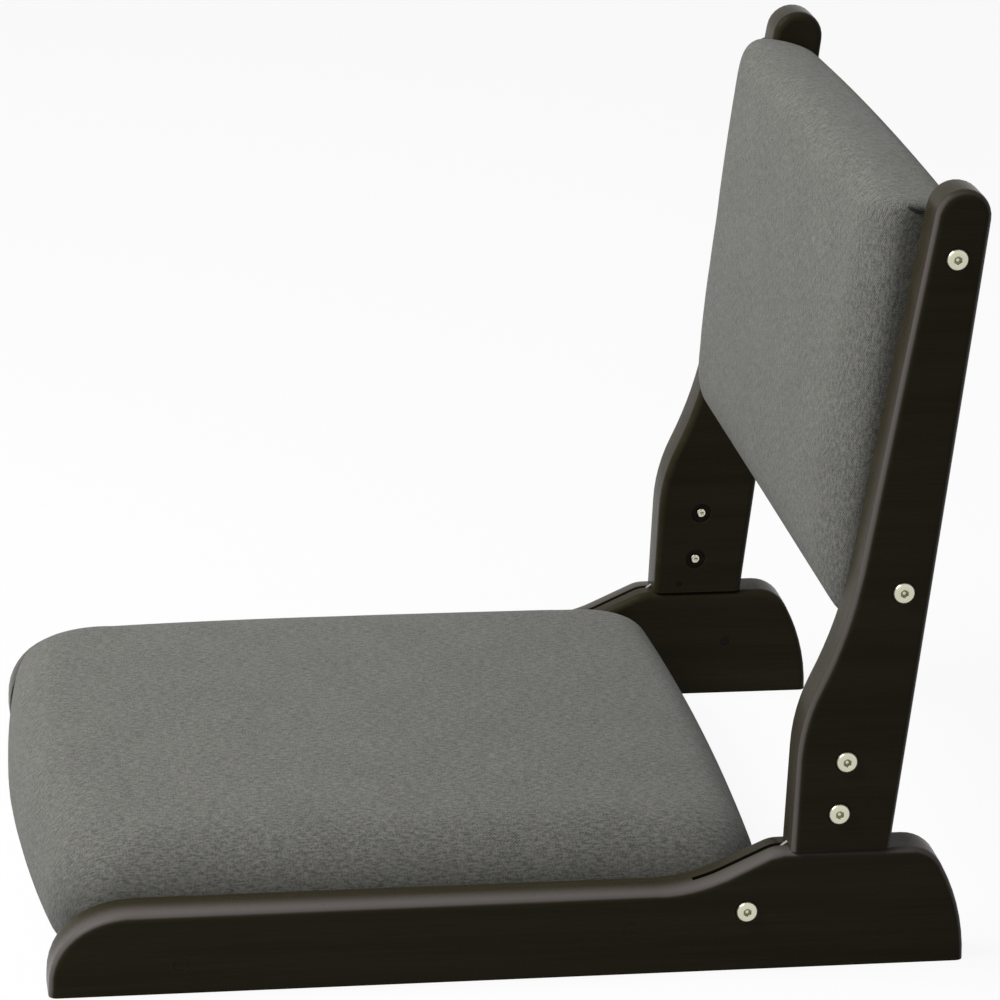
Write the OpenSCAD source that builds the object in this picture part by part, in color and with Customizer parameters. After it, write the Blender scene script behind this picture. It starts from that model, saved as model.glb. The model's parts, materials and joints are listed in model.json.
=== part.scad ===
// Folding floor chair. Two wooden side frames, each a floor rail with a hump and a post
// that stands on it, carry a padded seat and a padded back. The posts turn forward on
// steel plates let into slots in the wood, until the back lies over the seat.
// The sitter faces -Y, up is +Z, the floor is z = 0, and x = 0 is the middle of the chair.

/* [Overall] */
// Width over the two side frames
chair_w = 450; // [410:1:510]
// Height of the post tops above the floor
chair_h = 449; // [445:1:475]
// Thickness of the rail and post boards
board_t = 28; // [22:0.5:32]
// Length of the floor rails
rail_len = 514.5; // [500:0.5:560]

/* [Floor rail] */
// Height of the long low part of a rail
rail_h = 47.6; // [44:0.1:54]
// Height of the hump that carries the post
hump_h = 69.4; // [66:0.1:76]
// Length of the curve at the front end
nose_run = 50; // [36:1:60]
// Height of the curve at the front end
nose_rise = 42; // [30:1:43]
// Roundness of the front curve, where 2 is an ellipse
nose_power = 2.2; // [2:0.1:3]
// Radius of the curved rear end
heel_r = 118.5; // [100:0.5:180]
// Radius of the hump's rear corner
heel_corner_r = 21; // [12:0.5:26]
// Slope of the rise up to the hump, in degrees
rise_slope = 25; // [20:1:32]
// Radius of the hollow at the foot of the rise
rise_hollow_r = 90; // [60:1:110]
// Radius of the shoulder at the top of the rise
rise_shoulder_r = 20; // [10:1:40]
// Flat of the hump ahead of the post
hump_lead = 3.5; // [3:0.5:10]
// Rounding of the outer edges of rails and posts
edge_out_r = 4.5; // [3:0.5:5]
// Rounding of the inner edges of rails and posts
edge_in_r = 4.5; // [3:0.5:5]

/* [Post] */
// Distance from the rail's rear end to the post
post_setback = 45.5; // [40:0.5:56]
// Depth of the post at its foot
foot_d = 56.5; // [50:0.5:60]
// Height above the foot at which the post's front starts to sweep back
toe_h = 55.5; // [50:0.5:70]
// Lean of the front edge at the foot, in degrees
toe_lean = 1.5; // [0:0.5:4]
// Steepest lean of the front edge, in degrees
flare_lean = 24.8; // [20:0.1:28]
// Lean of the front edge above the sweep, in degrees
front_lean = 8.9; // [8:0.1:11]
// Lean of the rear edge, in degrees
rear_lean = 5.85; // [4:0.05:7]
// Radius at the start of the sweep
flare_r = 105; // [60:1:130]
// Radius at the end of the sweep
blend_r = 250; // [200:5:340]

/* [Hinge] */
// Distance of the pivot ahead of the post's foot
pivot_ahead = 24; // [20:0.1:27]
// Height of the pivot above the floor
pivot_h = 35.2; // [30:0.1:37]
// Thickness of the steel hinge plate
plate_t = 2.5; // [2:0.1:4]
// Radius of the plate's lower end round the pivot
plate_end_r = 15; // [11:0.5:17]
// Inset of the plate behind the post's front edge
plate_inset = 5; // [4:0.5:8]
// Height of the plate inside the post
plate_reach = 66; // [56:1:76]
// Height of the lower plate bolt above the foot
plate_bolt_low = 22.4; // [18:0.1:26]
// Distance of the lower plate bolt behind the foot's front
plate_bolt_back = 26; // [20:0.1:32]
// Height between the two plate bolts
plate_bolt_pitch = 31; // [24:1:36]
// Lean of the line through the plate bolts, in degrees
plate_bolt_lean = 5.2; // [0:0.1:8]
// Diameter of the small pin through post and plate
plate_pin_d = 4; // [3:0.5:5]
// Height of the small pin above the foot
plate_pin_h = 6; // [5:0.5:10]
// Distance of the small pin behind the foot's front
plate_pin_back = 16; // [12:0.1:17]
// Distance of the stop pin behind the pivot
stop_behind = 71.2; // [60:0.1:74]
// Diameter of the stop pin
stop_d = 6; // [4:0.5:8]
// Length of the slot in the rail ahead of the pivot
slot_ahead = 29; // [28:1:44]
// Thickness of the washers beside the plate
washer_t = 0.5; // [0.5:0.1:1.2]

/* [Fasteners] */
// Diameter of the machine bolts
bolt_d = 6; // [5:0.5:8]
// Diameter of a bolt's head
head_d = 12; // [11:0.5:16]
// Height of a bolt's head
head_t = 2.2; // [1.5:0.1:3]
// Size of the hexagon socket across its flats
socket_af = 4; // [3:0.5:5]
// Diameter of the recess on the inner face, round a bolt's end
recess_d = 13; // [12:0.5:15]
// Depth of that recess
recess_deep = 2; // [1:0.5:4]
// Diameter of the threaded inserts
insert_d = 10; // [9:0.5:11]
// Length of the threaded inserts in the rails and posts
insert_len = 4; // [3:0.5:5]
// Diameter of the wood screws
screw_d = 4; // [3:0.5:5]
// Diameter of the wood plugs over the screws
plug_d = 8; // [7:0.5:10]
// Thickness of the wood plugs
plug_t = 4; // [3:0.5:5]
// Diameter of the dowels
dowel_d = 8; // [6:0.5:10]
// Length of the dowels
dowel_len = 30; // [20:1:36]

/* [Cushions] */
// Thickness of the cover with its wadding
cover_t = 1.4; // [1:0.1:2]
// Thickness of the lining
lining_t = 0.8; // [0.5:0.1:1.5]
// Width of the cover turned in under the frame
hem_w = 40; // [36:1:50]
// Clearance between cloth and wood
cloth_gap = 0.3; // [0.2:0.1:0.6]
// Tuck of a cushion's sides at its base
side_tuck = 0.9; // [0.5:0.1:1.5]
// Radius of the roll from a cushion's end to its base
under_roll = 11; // [6:1:12]

/* [Seat] */
// Length of the seat cushion along its middle
seat_len = 420; // [400:1:428]
// How far the seat's front stands past the rails
seat_overhang = 9.5; // [4:0.5:20]
// Height of the seat's base above the floor
seat_base_h = 9; // [6:0.5:11]
// Thickness of the seat cushion at its edges
seat_t = 62.5; // [56:0.5:66]
// Height of the seat's widest line above its base
seat_belt = 22.5; // [20:0.5:30]
// Width of the roll from the seat's sides to its face
seat_roll_side = 40; // [28:1:50]
// Length of the roll from the seat's ends to its face
seat_roll_end = 28; // [20:1:40]
// Extra height in the middle of the seat
seat_crown = 8; // [4:0.5:9]
// Drop of the seat's corners
seat_drop = 1; // [0:0.5:4]
// Sweep of the seat's front edge
seat_bow_front = 16; // [8:0.5:18]
// Sweep of the seat's rear edge
seat_bow_rear = 6; // [2:0.5:8]
// Plan radius of the seat's corners
seat_corner_r = 30; // [15:1:34]
// Distance from the rail's front end to the first rail screw
seat_screw_front = 72.5; // [64:0.5:90]
// Spacing of the two rail screws
seat_screw_pitch = 250; // [220:1:256]

/* [Back] */
// Height of the lower back bolt above the floor
back_bolt_h = 221.8; // [216:0.1:226]
// Spacing of the two back bolts
back_bolt_pitch = 190; // [180:1:194]
// Distance of the back bolts ahead of the post's rear edge
back_bolt_inset = 16; // [14.5:0.5:17]
// Distance of the cushion's rear face behind the back bolts
back_rear = 13; // [12:0.5:14]
// Distance of the cushion's lower edge below the lower bolt
back_below = 24.5; // [23:0.5:30]
// Height of the back cushion at its middle
back_len = 241; // [236:0.5:246]
// Thickness of the back cushion at its edges
back_t = 54; // [50:0.5:60]
// Distance of the back's widest line from its rear face
back_belt = 34.5; // [28:0.5:36]
// Width of the roll from the back's sides to its face
back_roll_side = 36; // [28:1:50]
// Length of the roll from the back's ends to its face
back_roll_end = 45; // [30:1:50]
// Extra thickness in the middle of the back
back_crown = 6; // [3:0.5:8]
// Drop of the back's corners
back_drop = 4; // [0:0.5:6]
// Sweep of the back cushion's top edge
back_bow_top = 4; // [2:0.5:6]
// Hollow of the back cushion's lower edge
back_hollow = 2.5; // [0:0.5:4]
// Plan radius of the back cushion's corners
back_corner_r = 8; // [6:1:12]

/* [Inner frames] */
// Height of the seat frame's bars
seat_bar_h = 26; // [22:0.5:27]
// Width of the seat frame's bars
seat_bar_w = 24; // [20:1:30]
// Depth of the back frame's bars
back_bar_d = 20; // [18:0.5:21]
// Width of the back frame's bars
back_bar_w = 30; // [24:1:34]
// Thickness of the seat board
seat_board_t = 6; // [4:0.5:7]
// Thickness of the back board
back_board_t = 5; // [4:0.5:7]
// Step of the boards in from the bars
board_step = 4; // [3:0.5:6]
// Foam ahead of the seat's front bar
seat_nose = 49; // [48:1:54]
// Foam behind the seat's rear bar
seat_tail = 39; // [38:1:44]
// Foam above the back's bars
back_over_bars = 18.5; // [18:0.5:19]
// Foam below the back's bars
back_under_bars = 13.5; // [13.5:0.5:15]

/* [Hidden] */

wood = "#2b211d";
cloth = "#7d7d78";
inner_wood = "#c9a877";
foam_colour = "#e8dfc4";
nickel = "#c8c6c0";
steel = "#8f9296";
black_steel = "#2c2c2e";
black_cloth = "#2a2a2c";

$fn = 48;
// Cuts run this far past the faces that they open
over = 2;
// Clearance of a post's foot above the hump, and of the plate above its stop
stop_gap = 0.3;
// Radial clearance of a bolt in its hole in the wood
hole_gap = 0.15;
// Radial clearance of a pin in the plate
pin_gap = 0.05;
// Clearance of the hinge plate in its slots, all round
slot_gap = 0.4;
// Clearance of the inner frames in their covers, at the sides
frame_gap = 1.2;
// The plate's straight sides meet its round end at this share of the radius
touch_share = 0.97;
// Heights of the front and rear rail screws above the floor
seat_screw_heights = [17, 27];
// Board screws: diameter, head diameter, head height and length
board_screw_d = 3;
board_screw_head_d = 6;
board_screw_head_t = 1.6;
board_screw_len = 16;
// Distance of the board screws from the board's edges
board_screw_edge = 12;
// Length that a wood screw enters a bar, and height of its head
screw_bite = 18;
screw_head_t = 3;
// Length of a threaded insert in a back bar, and of the bolt that reaches it
bar_insert_len = 13;
// Chamfer on dowels, plugs and inserts
small_chamfer = 0.5;
// Segments of a board's rounded edge
edge_steps = 4;
// Segments of a corner and of a side of a cushion's outline, and of the cavity in its cover
outline_steps = [4, 8];
cavity_steps = [3, 4];
// Turns of a cushion's rings, in degrees, and shares of the way from the roll to the middle
base_turns = [90, 55, 25];
roll_turns = [0, 22, 45, 68, 90];
face_shares = [0.3, 0.65];
cavity_turns = [0, 30, 60, 90];
cavity_shares = [0.5];

half_w = chair_w / 2;
inner_x = half_w - board_t;
mid_x = half_w - board_t / 2;
rail_front = -rail_len / 2;
rail_rear = rail_len / 2;
foot_rear = rail_rear - post_setback;
foot_front = foot_rear - foot_d;
foot_h = hump_h + stop_gap;
pivot_y = foot_front - pivot_ahead;
seat_front = rail_front - seat_overhang;
// The origin lies in the middle of the chair's length
frame_shift = (-seat_front - rail_rear) / 2;

// An arc's points, from one angle to another
function arc(cy, cz, r, a0, a1, n) =
    [for (i = [0:n]) let (a = a0 + (a1 - a0) * i / n) [cy + r * cos(a), cz + r * sin(a)]];
// A quarter of a superellipse, from its end on the first axis to its end on the second
function nose(cy, cz, ry, rz, power, n) =
    [for (i = [0:n]) let (a = 90 * i / n) [cy - ry * pow(sin(a), 2 / power), cz + rz * pow(cos(a), 2 / power)]];
function last(list) = list[len(list) - 1];
function unit(v) = v / norm(v);
function side_normal(a, b) = let (d = unit(b - a)) [d[1], -d[0]];
// The outline moved inwards by d, corner by corner, but for the side that starts at point number flat
function inset(pts, d, flat) = let (n = len(pts))
    [for (i = [0:n - 1])
        let (before = (i + n - 1) % n, n0 = side_normal(pts[before], pts[i]),
            n1 = side_normal(pts[i], pts[(i + 1) % n]), c = n0 * n1)
        before == flat ? pts[i] + d * (c * n0 - n1) / (1 - c * c)
            : i == flat ? pts[i] + d * (c * n1 - n0) / (1 - c * c)
            : pts[i] - d * (n0 + n1) / (1 + c)];

// The foot of the rise is found by going back down from the shoulder
shoulder_y = foot_front - hump_lead;
shoulder_end = [shoulder_y - rise_shoulder_r * sin(rise_slope), hump_h - rise_shoulder_r * (1 - cos(rise_slope))];
hollow_rise = rise_hollow_r * (1 - cos(rise_slope));
hollow_end_y = shoulder_end[0] - (shoulder_end[1] - rail_h - hollow_rise) / tan(rise_slope);
hollow_y = hollow_end_y - rise_hollow_r * sin(rise_slope);
// The rear end is an arc that stands upright at the floor and runs into a tighter one
heel_turn = asin((hump_h - heel_corner_r) / (heel_r - heel_corner_r));
heel_corner_y = rail_rear - heel_r + (heel_r - heel_corner_r) * cos(heel_turn);
nose_z = rail_h - nose_rise;

rail_outline = concat(
    [[rail_front, 0]],
    arc(rail_rear - heel_r, 0, heel_r, 0, heel_turn - 1, 7),
    arc(heel_corner_y, hump_h - heel_corner_r, heel_corner_r, heel_turn, 90, 6),
    arc(shoulder_y, hump_h - rise_shoulder_r, rise_shoulder_r, 90, 90 + rise_slope, 4),
    arc(hollow_y, rail_h + rise_hollow_r, rise_hollow_r, 270 + rise_slope, 270, 8),
    nose(rail_front + nose_run, nose_z, nose_run, nose_rise, nose_power, 12));

// The post's front: the foot, a sweep back and a straight, each tangent to the next
toe_z = foot_h + toe_h;
toe_y = foot_front + toe_h * tan(toe_lean);
flare_start = [toe_y + flare_r * cos(toe_lean), toe_z - flare_r * sin(toe_lean)];
flare_pts = [for (a = [toe_lean:(flare_lean - toe_lean) / 6:flare_lean + 0.01])
    flare_start + flare_r * [-cos(a), sin(a)]];
flare_end = flare_start + flare_r * [-cos(flare_lean), sin(flare_lean)];
blend_start = flare_end + blend_r * [-cos(flare_lean), sin(flare_lean)];
blend_pts = [for (i = [1:8]) let (a = flare_lean + (front_lean - flare_lean) * i / 8)
    blend_start + blend_r * [cos(a), -sin(a)]];
front_pt = last(blend_pts);
// The top is the circle that touches both edges and the post's height
sum_front = front_pt[0] * cos(front_lean) + (chair_h - front_pt[1]) * sin(front_lean);
sum_rear = foot_rear * cos(rear_lean) + (chair_h - foot_h) * sin(rear_lean);
det = cos(front_lean) * (1 + sin(rear_lean)) - cos(rear_lean) * (sin(front_lean) - 1);
top_y = (sum_front * (1 + sin(rear_lean)) - sum_rear * (sin(front_lean) - 1)) / det;
top_r = (cos(front_lean) * sum_rear - cos(rear_lean) * sum_front) / det;
top_z = chair_h - top_r;
post_outline = concat(
    [[foot_front, foot_h], [foot_rear, foot_h]],
    arc(top_y, top_z, top_r, -rear_lean, 180 - front_lean, 14),
    [for (i = [len(blend_pts) - 1:-1:0]) blend_pts[i]],
    [for (i = [len(flare_pts) - 1:-1:0]) flare_pts[i]]);

// Sides between rings of m points, as triangles that face outwards
function ring_sides(rings, m) = [for (i = [0:rings - 2], j = [0:m - 1]) let (k = (j + 1) % m)
    each [[i * m + j, (i + 1) * m + j, (i + 1) * m + k], [i * m + j, (i + 1) * m + k, i * m + k]]];

// A board from x0 inside to x1 outside, with its flat faces in fans round hub, a point that sees all of
// the outline. Its edges are rounded, but for the side numbered flat
module board(outline, hub, x0, x1, flat = undef) {
    m = len(outline);
    turns = [for (i = [0:edge_steps]) 90 * i / edge_steps];
    rings = concat(
        [for (a = turns) [x0 + edge_in_r * (1 - cos(a)), edge_in_r * (1 - sin(a))]],
        [for (a = turns) [x1 - edge_out_r * (1 - sin(a)), edge_out_r * (1 - cos(a))]]);
    n = len(rings);
    points = concat([for (ring = rings) each [for (p = inset(outline, ring[1], flat)) [ring[0], p[0], p[1]]]],
        [[x0, hub[0], hub[1]], [x1, hub[0], hub[1]]]);
    faces = concat(ring_sides(n, m), [for (j = [0:m - 1]) [n * m, j, (j + 1) % m]],
        [for (j = [0:m - 1]) [n * m + 1, (n - 1) * m + (j + 1) % m, (n - 1) * m + j]]);
    polyhedron(points, faces, convexity = 6);
}

// A cylinder along X from x0 to x1 at (y, z)
module rod(x0, x1, y, z, r) {
    translate([x0, y, z]) rotate([0, 90, 0]) cylinder(h = x1 - x0, r = r);
}

module placed() {
    translate([0, frame_shift, 0]) children();
}

module both_sides() {
    children();
    mirror([1, 0, 0]) children();
}

// The frame of the back: the origin on the lower bolts' line, z along the posts' rear edges
back_bolt_y = foot_rear + (back_bolt_h - foot_h) * tan(rear_lean) - back_bolt_inset / cos(rear_lean);
module in_back() {
    translate([0, back_bolt_y, back_bolt_h]) rotate([-rear_lean, 0, 0]) children();
}
back_bolts_z = [0, back_bolt_pitch];

// Places of the plate's fasteners, from the pivot
foot_z = foot_h - pivot_h;
plate_bolts_at = [for (h = [0, plate_bolt_pitch])
    [pivot_ahead + plate_bolt_back + h * tan(plate_bolt_lean), foot_z + plate_bolt_low + h]];
plate_pin_at = [pivot_ahead + plate_pin_back, foot_z + plate_pin_h];
plate_front = pivot_ahead + plate_inset;
plate_rear = pivot_ahead + foot_d - plate_inset;
plate_top = foot_z + plate_reach;
plate_heel_z = stop_d / 2 + stop_gap;

// The point where a line from p touches a circle round the pivot, a little inside one of radius r
function touch(p, r, turn) = let (in = r * touch_share, a = atan2(p[1], p[0]) + turn * acos(in / norm(p)))
    in * [cos(a), sin(a)];

// Outline of a hinge plate, its pivot at the origin, grown by g
module plate_outline(g = 0) {
    r = plate_end_r + g;
    front = plate_front - g;
    rear = plate_rear + g;
    shoulder = [front, foot_z + plate_inset];
    heel = [stop_behind - stop_d, plate_heel_z - g];
    circle(r);
    polygon([touch(shoulder, r, 1), shoulder * 0, touch(heel, r, -1), heel, [rear, plate_heel_z - g],
        [rear, plate_top + g], [front, plate_top + g], shoulder]);
}

// Room for a plate's whole sweep in the rail, its pivot at the origin
module plate_sweep() {
    r = plate_end_r + slot_gap;
    reach = norm([plate_rear, plate_heel_z]) + slot_gap;
    high = hump_h + over - pivot_h;
    circle(r);
    plate_outline(slot_gap);
    intersection() {
        circle(reach);
        polygon([[0, 0], [reach, plate_heel_z - slot_gap], [reach, high], [0, high]]);
    }
    polygon([touch([-slot_ahead, rail_h - pivot_h], r, 1), [0, 0], [0, high], [-slot_ahead, high],
        [-slot_ahead, rail_h - pivot_h]]);
}

// A flat shape in (y, z) round the pivot, made a slab of thickness t in the middle of the boards
module slab(t) {
    translate([mid_x - t / 2, pivot_y, pivot_h]) rotate([90, 0, 90]) linear_extrude(t) children();
}

rail_slot_w = plate_t + 2 * washer_t + slot_gap;
post_slot_w = plate_t + slot_gap / 2;
screw_head_x = half_w - plug_t - small_chamfer;
seat_screws_at = [[rail_front + seat_screw_front, seat_screw_heights[0]],
    [rail_front + seat_screw_front + seat_screw_pitch, seat_screw_heights[1]]];
insert_x = inner_x + recess_deep;

// Holes for a bolt with its head outside and its insert inside a board
module bolt_holes(y, z) {
    rod(inner_x - over, half_w + over, y, z, bolt_d / 2 + hole_gap);
    rod(inner_x - over, insert_x, y, z, recess_d / 2);
    rod(insert_x - over, insert_x + insert_len, y, z, insert_d / 2 + hole_gap);
}

module rail() {
    color(wood) difference() {
        board(rail_outline, [foot_front, rail_h / 2], inner_x, half_w, 0);
        slab(rail_slot_w) plate_sweep();
        bolt_holes(pivot_y, pivot_h);
        rod(inner_x - over, half_w - board_t / 6, pivot_y + stop_behind, pivot_h, stop_d / 2 + hole_gap);
        for (p = seat_screws_at) {
            rod(inner_x - over, half_w + over, p[0], p[1], screw_d / 2 + hole_gap);
            rod(screw_head_x - screw_head_t, half_w + over, p[0], p[1], plug_d / 2 + hole_gap);
        }
    }
}

module post() {
    color(wood) difference() {
        board(post_outline, [foot_front + foot_d / 2, foot_h + toe_h / 2], inner_x, half_w, 0);
        slab(post_slot_w) plate_outline(slot_gap);
        for (p = plate_bolts_at) bolt_holes(pivot_y + p[0], pivot_h + p[1]);
        rod(inner_x - over, half_w - board_t / 6, pivot_y + plate_pin_at[0], pivot_h + plate_pin_at[1],
            plate_pin_d / 2 + pin_gap);
        in_back() for (z = back_bolts_z) rod(inner_x - over, half_w + over, 0, z, bolt_d / 2 + hole_gap);
    }
}

module hinge_plate() {
    color(steel) difference() {
        slab(plate_t) plate_outline();
        rod(inner_x, half_w, pivot_y, pivot_h, bolt_d / 2 + pin_gap);
        for (p = plate_bolts_at)
            rod(inner_x, half_w, pivot_y + p[0], pivot_h + p[1], bolt_d / 2 + pin_gap);
        rod(inner_x, half_w, pivot_y + plate_pin_at[0], pivot_h + plate_pin_at[1], plate_pin_d / 2 + pin_gap);
    }
}

// A bolt along X: a low domed head outside half_w with a hexagon socket, and a shank to x0
module bolt(x0, y, z) {
    dome = head_t / 2;
    socket_deep = head_t * 3 / 4;
    translate([half_w, y, z]) rotate([0, 90, 0]) difference() {
        union() {
            rotate_extrude() polygon([[0, 0], [head_d / 2, 0], [head_d / 2, head_t - dome],
                [head_d / 2 - dome / 2, head_t - dome / 4], [head_d / 2 - 2 * dome, head_t], [0, head_t]]);
            translate([0, 0, x0 - half_w]) cylinder(h = half_w - x0 + dome / 2, r = bolt_d / 2);
        }
        translate([0, 0, head_t - socket_deep]) cylinder(h = head_t, r = socket_af / sqrt(3), $fn = 6);
    }
}

// A threaded insert along X from x0 to x1, with a chamfered mouth
module insert(x0, x1, y, z) {
    bore = bolt_d / 2 + pin_gap;
    r = insert_d / 2;
    translate([x0, y, z]) rotate([0, 90, 0]) rotate_extrude()
        polygon([[bore + small_chamfer, 0], [r, 0], [r, x1 - x0], [bore, x1 - x0], [bore, small_chamfer]]);
}

module pivot_bolts() {
    color(nickel) both_sides() bolt(inner_x + recess_deep / 2, pivot_y, pivot_h);
}

module pivot_inserts() {
    color(black_steel) both_sides() insert(insert_x, insert_x + insert_len, pivot_y, pivot_h);
}

module hinge_washers() {
    color(steel) both_sides() for (side = [-1, 1]) difference() {
        x = mid_x + side * (plate_t / 2 + slot_gap / 8) + (side < 0 ? -washer_t : 0);
        rod(x, x + washer_t, pivot_y, pivot_h, plate_end_r * 3 / 4);
        rod(x - over, x + washer_t + over, pivot_y, pivot_h, bolt_d / 2 + pin_gap);
    }
}

module stop_pins() {
    color(black_steel) both_sides()
        rod(inner_x + small_chamfer, half_w - board_t / 6 - hole_gap, pivot_y + stop_behind, pivot_h, stop_d / 2);
}

module plate_bolts() {
    color(nickel) both_sides() for (p = plate_bolts_at)
        bolt(inner_x + recess_deep / 2, pivot_y + p[0], pivot_h + p[1]);
}

module plate_inserts() {
    color(black_steel) both_sides() for (p = plate_bolts_at)
        insert(insert_x, insert_x + insert_len, pivot_y + p[0], pivot_h + p[1]);
}

module plate_pins() {
    color(black_steel) both_sides() rod(inner_x + small_chamfer, half_w - board_t / 6 - hole_gap,
        pivot_y + plate_pin_at[0], pivot_h + plate_pin_at[1], plate_pin_d / 2);
}

// The outline of a cushion: a rounded rectangle that reaches to y = -low and y = high
function loop(hw, low, high, r, steps) = let (
        at = [[hw - r, high - r], [r - hw, high - r], [r - hw, r - low], [hw - r, r - low]],
        corner = function (q, a) at[q] + r * [cos(a), sin(a)])
    [for (q = [0:3]) each concat(
        [for (i = [0:steps[0]]) corner(q, 90 * (q + i / steps[0]))],
        let (p = corner(q, 90 * (q + 1)), n = corner((q + 1) % 4, 90 * (q + 1)))
            [for (i = [1:steps[1] - 1]) p + (n - p) * i / steps[1]])];

// A cushion lying on z = 0: a base, a belt, a roll and a crowned face, all inset by d.
// The form is [half length, thickness, belt height, side and end roll, crown, drop, low and high bow, radius]
module pad(form, d = 0, steps = outline_steps, turns = roll_turns, shares = face_shares) {
    ow = pad_hw - d;
    half = form[0] - d;
    edge = form[1] - d;
    belt = form[2];
    side_roll = form[3] - d;
    end_roll = form[4] - d;
    low = half - form[7];
    high = half - form[8];
    reach = function (p) p[1] > 0 ? high : low;
    bow = function (p) 1 + (half / reach(p) - 1) * (1 - pow(p[0] / ow, 2));
    outline = [for (p = loop(ow, low, high, form[9] - d, steps)) [p[0], p[1] * bow(p)]];
    rise = function (x, y) let (u = pow(x / ow, 2), v = pow(y / half, 2))
        form[5] * (1 - u) * (1 - v) - form[6] * u * v;
    rings = concat(
        [for (a = base_turns) [side_tuck * (1 - cos(a)), (under_roll - d) * (1 - cos(a)),
            belt - (belt - d) * sin(a), 0]],
        [for (a = turns) [side_roll * (1 - cos(a)), end_roll * (1 - cos(a)),
            belt + (edge - belt) * sin(a), sin(a)]],
        [for (s = shares) [side_roll + (ow - side_roll) * s, end_roll + (low - end_roll) * s, edge, 1]]);
    loops = [for (ring = rings) [for (p = outline)
        let (x = p[0] * (1 - ring[0] / ow), y = p[1] * (1 - ring[1] / reach(p)))
        [x, y, ring[2] + ring[3] * rise(x, y)]]];
    m = len(outline);
    n = len(loops);
    points = concat([for (l = loops) each l], [[0, 0, d], [0, 0, edge + form[5]]]);
    faces = concat(ring_sides(n, m), [for (j = [0:m - 1]) [n * m, j, (j + 1) % m]],
        [for (j = [0:m - 1]) [n * m + 1, (n - 1) * m + (j + 1) % m, (n - 1) * m + j]]);
    polyhedron(points, faces, convexity = 4);
}

pad_hw = inner_x - cloth_gap;
seat_hl = seat_len / 2;
back_hl = back_len / 2;
seat_form = [seat_hl, seat_t, seat_belt, seat_roll_side, seat_roll_end, seat_crown, seat_drop,
    seat_bow_front, seat_bow_rear, seat_corner_r];
back_form = [back_hl, back_t, back_belt, back_roll_side, back_roll_end, back_crown, back_drop,
    -back_hollow, back_bow_top, back_corner_r];
seat_y = seat_front + seat_hl;
back_z = back_hl - back_below;
// The inner frames stand on the turned-in hem
bar_x = pad_hw - cover_t - side_tuck - frame_gap;
board_x = bar_x - board_step;
seat_bar_z = seat_base_h + cover_t + cloth_gap / 3;
seat_bar_front_y = seat_front + seat_nose;
seat_bar_rear_y = seat_front + seat_len - seat_tail;
seat_board_z = seat_bar_z + seat_bar_h;
back_bar_y = back_rear - cover_t - cloth_gap / 3;
back_bar_low = back_under_bars - back_below;
back_bar_high = back_len - back_below - back_over_bars;
back_board_y = back_bar_y - back_bar_d;

module seat_pad() {
    translate([0, seat_y, seat_base_h]) pad(seat_form);
}

// The room in the seat's cover, inset by d
module seat_room(d) {
    translate([0, seat_y, seat_base_h]) pad(seat_form, d, cavity_steps, cavity_turns, cavity_shares);
}

module back_pad() {
    translate([0, back_rear, back_z]) rotate([90, 0, 0]) pad(back_form);
}

// The room in the back's cover, inset by d
module back_room(d) {
    translate([0, back_rear, back_z]) rotate([90, 0, 0])
        pad(back_form, d, cavity_steps, cavity_turns, cavity_shares);
}

module seat_cover() {
    color(cloth) difference() {
        seat_pad();
        seat_room(cover_t);
        translate([hem_w - pad_hw, seat_front + hem_w, seat_base_h - over])
            cube([2 * (pad_hw - hem_w), seat_len - 2 * hem_w, 2 * over + cover_t]);
        both_sides() for (p = seat_screws_at)
            rod(bar_x - over, inner_x + over, p[0], p[1], screw_d / 2 + hole_gap);
    }
}

module seat_foam() {
    color(foam_colour) difference() {
        seat_room(cover_t + cloth_gap);
        translate([-half_w, seat_bar_front_y - cloth_gap, 0])
            cube([chair_w, seat_bar_rear_y - seat_bar_front_y + 2 * cloth_gap,
                seat_board_z + seat_board_t + cloth_gap]);
    }
}

module seat_lining() {
    inset_w = hem_w * 4 / 5;
    color(black_cloth) translate([inset_w - pad_hw, seat_front + inset_w, seat_base_h - lining_t])
        cube([2 * (pad_hw - inset_w), seat_len - 2 * inset_w, lining_t]);
}

seat_cross_x = bar_x - seat_bar_w;
seat_dowels_z = [seat_bar_z + seat_bar_h / 4, seat_bar_z + seat_bar_h * 3 / 4];
seat_cross_ys = [seat_bar_front_y + seat_bar_w / 2, seat_bar_rear_y - seat_bar_w / 2];

module dowel(x, y, z, gap = 0) {
    r = dowel_d / 2 + gap;
    h = dowel_len + 2 * gap;
    c = small_chamfer;
    translate([x - h / 2, y, z]) rotate([0, 90, 0]) rotate_extrude()
        polygon([[0, 0], [r - c, 0], [r, c], [r, h - c], [r - c, h], [0, h]]);
}

module seat_dowel_set(gap = 0) {
    both_sides() for (y = seat_cross_ys, z = seat_dowels_z) dowel(seat_cross_x, y, z, gap);
}

module seat_bar_side() {
    color(inner_wood) difference() {
        translate([seat_cross_x, seat_bar_front_y, seat_bar_z])
            cube([seat_bar_w, seat_bar_rear_y - seat_bar_front_y, seat_bar_h]);
        seat_dowel_set(hole_gap);
        for (p = seat_screws_at) rod(bar_x - screw_bite - over, bar_x + over, p[0], p[1], screw_d / 2 + pin_gap);
        seat_board_screw_set(pin_gap);
    }
}

module seat_bar_cross(y) {
    color(inner_wood) difference() {
        translate([-seat_cross_x, y - seat_bar_w / 2, seat_bar_z])
            cube([2 * seat_cross_x, seat_bar_w, seat_bar_h]);
        seat_dowel_set(hole_gap);
    }
}

// A countersunk screw that stands on its point at the origin, with its flat head on top
module board_screw(gap = 0) {
    r = board_screw_d / 2 + gap;
    hr = board_screw_head_d / 2 + gap;
    rotate_extrude() polygon([[0, -gap], [r, -gap], [r, board_screw_len - board_screw_head_t],
        [hr, board_screw_len], [0, board_screw_len]]);
}

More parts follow.
